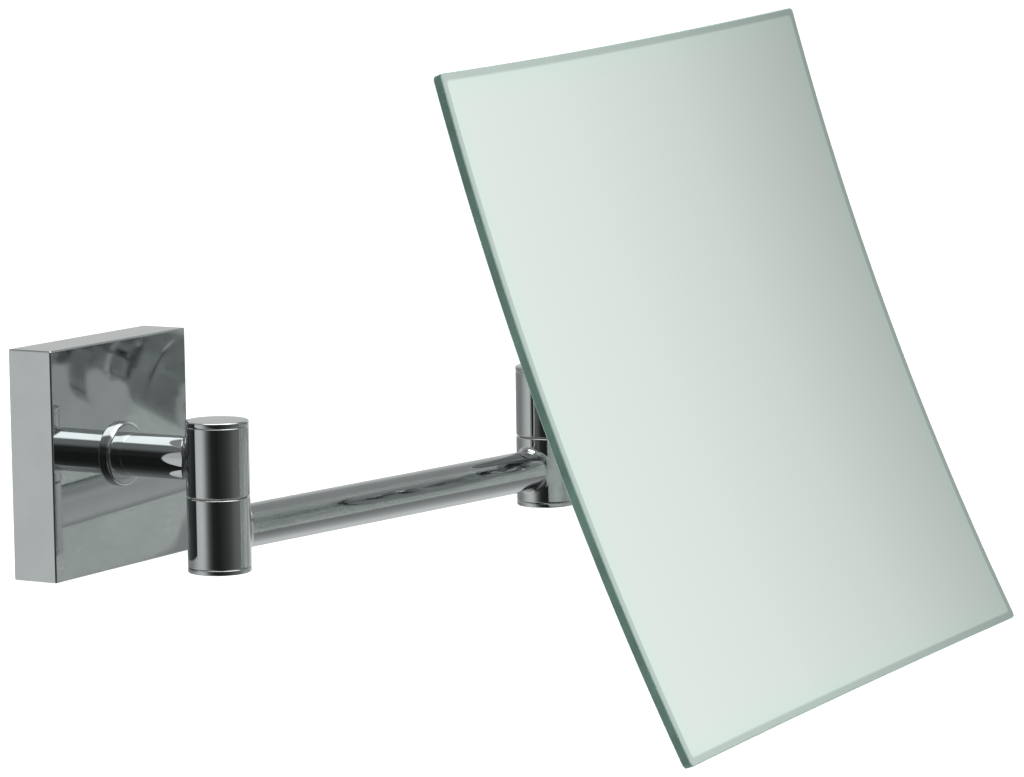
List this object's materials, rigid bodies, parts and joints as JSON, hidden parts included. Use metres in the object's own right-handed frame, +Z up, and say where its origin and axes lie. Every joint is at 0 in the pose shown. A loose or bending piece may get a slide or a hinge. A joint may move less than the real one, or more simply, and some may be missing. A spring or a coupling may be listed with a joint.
{
  "type": "extendable shaving mirror",
  "caption": "Wall-mounted shaving mirror: square rose, stub, swing arm between two barrel hinges, and a frameless square concave glass on a ball joint.",
  "frame": {"origin": "centre of the wall bracket's back face, on the wall", "axes": "+Z up, +Y into the wall, +X to the right seen from the room; the mirror stands out towards -Y"},
  "size_m": [0.2771, 0.1726, 0.1972],
  "materials": {
    "chromed_brass": "bright chrome plate, polished",
    "stainless_steel": "turned and stamped, satin",
    "zinc_plated_steel": "zinc plated pressed sheet",
    "nylon": "moulded, natural white",
    "foam_tape": "closed-cell foam, matt",
    "mirror_glass": "silvered glass, polished edges, grey backing paint"
  },
  "bodies": {
    "wall_mount": {"wall_bracket": "zinc_plated_steel", "wall_rose": "chromed_brass", "rose_grub_screw": "stainless_steel", "stub_screw": "stainless_steel", "stub_lock_washer": "stainless_steel", "stub_collar": "chromed_brass", "wall_stub": "chromed_brass", "base_upper_knuckle": "chromed_brass", "base_top_cap": "chromed_brass", "base_hinge_bolt": "stainless_steel", "base_thrust_washer": "stainless_steel", "base_disc_springs": "stainless_steel", "base_hinge_nut": "stainless_steel"},
    "arm": {"base_lower_knuckle": "chromed_brass", "base_hinge_bush": "nylon", "base_bottom_cap": "chromed_brass", "swing_arm": "chromed_brass", "end_lower_knuckle": "chromed_brass", "end_hinge_bush": "nylon", "end_bottom_cap": "chromed_brass"},
    "neck_body": {"end_upper_knuckle": "chromed_brass", "end_top_cap": "chromed_brass", "end_hinge_bolt": "stainless_steel", "end_thrust_washer": "stainless_steel", "end_disc_springs": "stainless_steel", "end_hinge_nut": "stainless_steel", "neck": "chromed_brass", "ball_stud": "chromed_brass"},
    "ball_seats": {"rear_ball_seat": "nylon", "front_ball_seat": "nylon"},
    "mirror_head": {"seat_spring": "stainless_steel", "socket_housing": "chromed_brass", "clamp_ring": "chromed_brass", "back_plate": "chromed_brass", "back_plate_screws": "stainless_steel", "adhesive_pad": "foam_tape", "mirror_glass": "mirror_glass"}
  },
  "joints": [
    {"name": "arm_swing", "type": "hinge", "parent": "wall_mount", "child": "arm", "pos_m": [0, -0.046, 0], "axis": [0, 0, 1], "range_deg": [-172.5, 7.5]},
    {"name": "mirror_swing", "type": "hinge", "parent": "arm", "child": "neck_body", "pos_m": [0.14475, -0.06506, 0], "axis": [0, 0, 1], "range_deg": [-5, 175]},
    {"name": "mirror_tilt", "type": "hinge", "parent": "neck_body", "child": "ball_seats", "pos_m": [0.14353, -0.09303, 0], "axis": [-0.999, 0.0436, 0], "range_deg": [-51, 9]},
    {"name": "mirror_spin", "type": "hinge", "parent": "ball_seats", "child": "mirror_head", "pos_m": [0.14353, -0.09303, 0], "axis": [-0.0407, -0.9327, 0.3584], "continuous": true}
  ]
}
